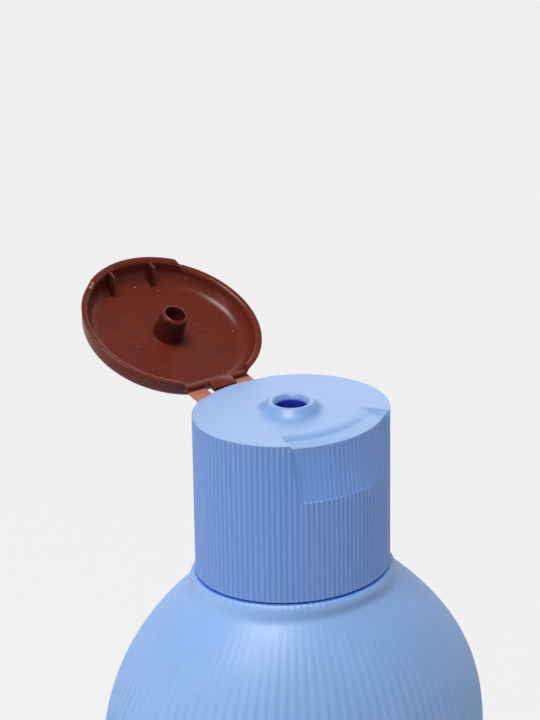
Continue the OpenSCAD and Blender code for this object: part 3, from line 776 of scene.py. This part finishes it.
def lid_rows():
    """Half axes, flat back, height and level of each row, from the lid's top round the rim to its floor."""
    top_steps, rim_steps, wall_steps = 8, 6, 16
    rows = []
    for k in range(top_steps + 1):
        q = math.pi / 2 * (1 - k / top_steps)
        inset = LID_ROUND * (1 - math.cos(q))
        rows.append((LID_A - LID_LEAN - inset, LID_B - LID_LEAN - inset, LID_BACK - inset,
                     LID_H - LID_ROUND + LID_ROUND * math.sin(q), top_level))
    for k in range(rim_steps + 1):
        q = math.pi / 2 * k / rim_steps
        inset = RIM_SOFT * (1 - math.cos(q))
        rows.append((LID_A - inset, LID_B - inset, LID_BACK - inset,
                     RIM_SOFT * (1 - math.sin(q)), edge_level))
    for k in range(1, rim_steps + 1):
        q = math.pi / 2 * k / rim_steps
        inset = RIM_T + RIM_INNER_IN - RIM_INNER * (1 - math.sin(q))
        rows.append((LID_A - inset, LID_B - inset, LID_BACK - inset + RIM_T - LID_BACK_T,
                     RIM_INNER * (1 - math.cos(q)), edge_level))
    for k in range(wall_steps + 1):
        q = k / wall_steps
        inset = RIM_T + WALL_IN + WALL_RUN * q ** WALL_RUN_POWER
        back = LID_BACK - LID_BACK_T - WALL_IN - DISH_ROUND * q ** WALL_RUN_POWER
        rise = WALL_START + (DISH_DEPTH - WALL_START) * (1 - (1 - q) ** WALL_CURVE)
        rows.append((LID_A - inset, LID_B - inset, back, rise, wall_level))
    return rows


def make_lid():
    angles = lid_angles(LID_SIDES)
    bm = bmesh.new()

    def flat_oval(a, b, back, z, level):
        """An oval with a flat back, raised or lowered by level."""
        def place(i):
            t = angles[i]
            r = oval_r(a, b, t)
            if r * math.sin(t) > back:
                r = back / math.sin(t)
            p = Vector((r * math.cos(t), r * math.sin(t), z))
            p.z += level(p, z)
            return p
        return place

    loop = top = circle_loop(bm, len(angles), angles)
    for n, row in enumerate(lid_rows()):
        if n:
            loop = next_loop(bm, loop)
        lay(loop, flat_oval(*row))
    fill_between(bm, [top], True)
    plug = circle_loop(bm, PLUG_SIDES)
    lay_round(plug, PLUG_PROFILE[0][0], PLUG_PROFILE[0][0], PLUG_PROFILE[0][1])
    fill_between(bm, [loop, plug], False)
    for r, z in PLUG_PROFILE[1:]:
        plug = next_loop(bm, plug)
        lay_round(plug, r, r, z)
    fill_between(bm, [plug], False)
    bmesh.ops.recalc_face_normals(bm, faces=bm.faces)
    add_gussets(bm)
    add_ejector_marks(bm)
    add_web(bm)
    # painted shade on the plug and on the gussets' left sides
    paint_shade_on_lid(bm)
    piece = finish_piece(bm, "flip_top_lid", lid_brown, "lid", sharp=32, move=swing())
    piece.data.materials.append(lid_painted_shade)
    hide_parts("flip_lid")


def paint_shade_on_lid(bm):
    """Gives the plug's side and bore, and the left side of each gusset, the deeper brown of painted shade.
    """
    for f in bm.faces:
        centre = f.calc_center_median()
        reach = math.hypot(centre.x, centre.y)
        on_side = PLUG_SIDE_R < reach < PLUG_FOOT_R and centre.z > PLUG_SIDE_Z
        on_gusset = centre.y < -12 and abs(abs(centre.x) - GUSSET_X) < 0.5 and f.normal.x < -0.6
        if on_side or reach < PLUG_BORE_R or on_gusset:
            f.material_index = 1


def add_block(bm, corners, run, bevel):
    """A plate from its outline: the corners make a face, which is extruded by run, then bevelled."""
    face = bm.faces.new([bm.verts.new(c) for c in corners])
    made = bmesh.ops.extrude_face_region(bm, geom=[face])["geom"]
    fresh = [v for v in made if isinstance(v, bmesh.types.BMVert)]
    bmesh.ops.translate(bm, verts=fresh, vec=run)
    verts = set(face.verts) | set(fresh)
    edges = [e for e in bm.edges if e.verts[0] in verts and e.verts[1] in verts]
    bmesh.ops.bevel(bm, geom=edges, offset=bevel, offset_type="OFFSET", segments=2, profile=0.5,
                    affect="EDGES", material=-1)


def add_gussets(bm):
    for x in (-GUSSET_X, GUSSET_X):
        wall = (LID_B - RIM_T) * math.sqrt(1 - (x / (LID_A - RIM_T)) ** 2)
        outline = [(-wall - 0.4, -0.5), (-wall + 1.7, -0.5), (-wall + 2.5, 1.2),
                   (-wall + 2.9, DISH_DEPTH - 0.3), (-wall + 3.0, DISH_DEPTH + 0.2),
                   (-wall + 1.0, DISH_DEPTH + 0.3), (-wall - 0.4, 1.2)]
        add_block(bm, [(x - GUSSET_T / 2, y, z) for y, z in outline], (GUSSET_T, 0, 0), GUSSET_BEVEL)


def add_ejector_marks(bm):
    """A shallow ring on each side of the plug, set into the floor."""
    turns = [math.tau * i / MARK_SIDES for i in range(MARK_SIDES)]
    for x in (-EJECTOR_X, EJECTOR_X):
        ring = circle_loop(bm, len(turns))
        for n, (out, z) in enumerate(EJECTOR_PROFILE):
            if n:
                ring = next_loop(bm, ring)
            r = EJECTOR_R + out
            lay(ring, lambda i: (x + r * math.cos(turns[i]), r * math.sin(turns[i]), DISH_DEPTH + z))


def add_web(bm):
    """The stiff middle of the hinge, on the lid's back."""
    x = HINGE_BACK * math.sin(LID_SKEW)
    outline = [(LID_BACK - 0.5, 1.0), (HINGE_BACK - 0.15, 0.9),
               (HINGE_BACK - 0.05, 1.8), (LID_BACK - 0.5, 1.8)]
    add_block(bm, [(x - WEB_W / 2, y, z) for y, z in outline], (WEB_W, 0, 0), WEB_BEVEL)


def make_straps():
    """The two thin bands from the skirt's back to the open lid's back."""
    up = STRAP_LID_Z + LID_GAP - HINGE_UP
    back = LID_BACK - HINGE_BACK
    end_y = HINGE_BACK + back * math.cos(LID_OPEN) + up * math.sin(LID_OPEN)
    end_z = HINGE_UP - back * math.sin(LID_OPEN) + up * math.cos(LID_OPEN)
    for side, name in ((-1, "hinge_strap_left"), (1, "hinge_strap_right")):
        low, high = sorted((side * STRAP_IN_X, side * STRAP_OUT_X))
        bm = bmesh.new()
        for v in bmesh.ops.create_grid(bm, x_segments=4, y_segments=14, size=0.5)["verts"]:
            s = v.co.y + 0.5
            v.co = (low + (v.co.x + 0.5) * (high - low),
                    STRAP_ROOT_Y + (end_y + STRAP_OVER - STRAP_ROOT_Y) * s,
                    STRAP_ROOT_Z + (end_z - STRAP_ROOT_Z) * s - STRAP_SAG * math.sin(math.pi * s))
        bmesh.ops.solidify(bm, geom=list(bm.faces), thickness=STRAP_T)
        piece = finish_piece(bm, name + "_band", strap_copper, None,
                             move=Matrix.Translation((0, 0, DECK_Z)))
        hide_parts(name)
        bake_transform(piece)


make_bottle()
make_closure()
make_lid()
make_straps()


# stage, light and camera

def seen(n, share):
    """The share of plain white that the camera sees, also through clear things and in reflections."""
    rays = n.tree.nodes.new("ShaderNodeLightPath").outputs
    direct = n.math("MAXIMUM", rays["Is Camera Ray"], rays["Is Transmission Ray"])
    return n.times(n.math("MAXIMUM", direct, rays["Is Glossy Ray"]), share)


def paper_white(n, place, reach, front_level, foot_level):
    """White of the paper: even to the camera; in reflections bright low down behind the object only."""
    along = n.node("ShaderNodeVectorMath", {0: place, 1: BEHIND}, operation="DOT_PRODUCT").outputs["Value"]
    behind = n.ranged(along, -0.3 * reach, reach, front_level, PAPER)
    height = n.split(place)[2]
    low = n.ranged(height, 0.35, 0.7, 1.0, 0.2)
    foot = n.ranged(height, 0.04, 0.26, foot_level, 1.0)
    glossy = n.tree.nodes.new("ShaderNodeLightPath").outputs["Is Glossy Ray"]
    plain = n.times(n.math("SUBTRACT", 1.0, glossy), PAPER)
    return n.math("ADD", n.times(behind, low, foot, glossy), plain)


def make_floor():
    bm = bmesh.new()
    bmesh.ops.create_grid(bm, x_segments=1, y_segments=1, size=FLOOR_SIZE)
    mesh = bpy.data.meshes.new("studio_floor")
    bm.to_mesh(mesh)
    bm.free()
    floor = bpy.data.objects.new("studio_floor", mesh)
    bpy.context.scene.collection.objects.link(floor)
    material = bpy.data.materials.new("pale_floor")
    material.use_nodes = True
    n = Nodes(material.node_tree)
    shader = n.tree.nodes["Principled BSDF"]
    shader.inputs["Base Color"].default_value = (0.75, 0.75, 0.75, 1)
    shader.inputs["Roughness"].default_value = 0.9
    spot = n.tree.nodes.new("ShaderNodeTexCoord").outputs["Object"]
    glow = n.node("ShaderNodeEmission", {"Color": (1, 1, 1, 1),
                                         "Strength": paper_white(n, spot, 0.5, 0.35, 1.0)})
    mix = n.node("ShaderNodeMixShader", {0: seen(n, 0.88), 1: shader.outputs[0], 2: glow.outputs[0]})
    n.tree.links.new(mix.outputs[0], n.tree.nodes["Material Output"].inputs["Surface"])
    mesh.materials.append(material)


def make_air():
    """Even fill light all round, with the paper's white where the camera or a reflection looks."""
    world = bpy.data.worlds.new("studio_air")
    bpy.context.scene.world = world
    world.use_nodes = True
    n = Nodes(world.node_tree)
    air = n.tree.nodes["Background"]
    air.inputs["Color"].default_value = (1, 1, 1, 1)
    air.inputs["Strength"].default_value = AIR_LIGHT
    toward = n.tree.nodes.new("ShaderNodeTexCoord").outputs["Generated"]
    wall = n.node("ShaderNodeBackground", {"Color": (1, 1, 1, 1),
                                           "Strength": paper_white(n, toward, 0.6, 0.2, 0.2)})
    mix = n.node("ShaderNodeMixShader", {0: seen(n, 1.0), 1: air.outputs[0], 2: wall.outputs[0]})
    n.tree.links.new(mix.outputs[0], n.tree.nodes["World Output"].inputs["Surface"])


def add_light(name, place, target, size, power):
    data = bpy.data.lights.new(name, "AREA")
    data.shape = "RECTANGLE"
    data.size, data.size_y = size
    data.energy = power
    lamp = bpy.data.objects.new(name, data)
    bpy.context.scene.collection.objects.link(lamp)
    lamp.location = place
    lamp.rotation_euler = (Vector(target) - Vector(place)).to_track_quat("-Z", "Y").to_euler()


def make_camera():
    """The photograph's camera, fitted to the closure. Lengths in millimetres, focal length in pixels."""
    focal, distance, picture_height, sensor = 2990.0, 550.0, 720.0, 36.0
    tilt, roll, turn = math.radians(20.74), math.radians(0.84), math.radians(-42)
    side, lift = -3.76, 9.14
    right = Vector((math.cos(turn), math.sin(turn), 0))
    away = Vector((-math.sin(turn), math.cos(turn), 0))
    up = away * math.sin(tilt) + Vector((0, 0, 1)) * math.cos(tilt)
    ahead = away * math.cos(tilt) - Vector((0, 0, 1)) * math.sin(tilt)
    place = Vector((0, 0, DECK_Z)) + right * side + up * lift - ahead * distance
    level = right * math.cos(roll) - up * math.sin(roll)
    rise = right * math.sin(roll) + up * math.cos(roll)
    data = bpy.data.cameras.new("photo_camera")
    data.sensor_width = sensor
    data.lens = focal * sensor / picture_height
    camera = bpy.data.objects.new("photo_camera", data)
    bpy.context.scene.collection.objects.link(camera)
    camera.matrix_world = Matrix((
        (level.x, rise.x, -ahead.x, place.x * MM),
        (level.y, rise.y, -ahead.y, place.y * MM),
        (level.z, rise.z, -ahead.z, place.z * MM),
        (0, 0, 0, 1)))
    bpy.context.scene.camera = camera


make_floor()
make_air()
add_light("top_softbox", (-0.42, -0.18, 1.6), (0, 0, 0.15), (0.6, 0.6), 20)
add_light("back_softbox", (0.95, 1.15, 0.82), (0, 0, 0.17), (1.8, 1.0), 8)
add_light("left_window", (-1.1, -0.05, 1.0), (0, 0, 0.18), (0.15, 1.6), 2.2)
add_light("side_softbox", (-1.05, 0.85, 0.40), (0, 0, 0.17), (1.0, 0.6), 3.5)
make_camera()
bpy.context.scene.view_settings.view_transform = "Standard"
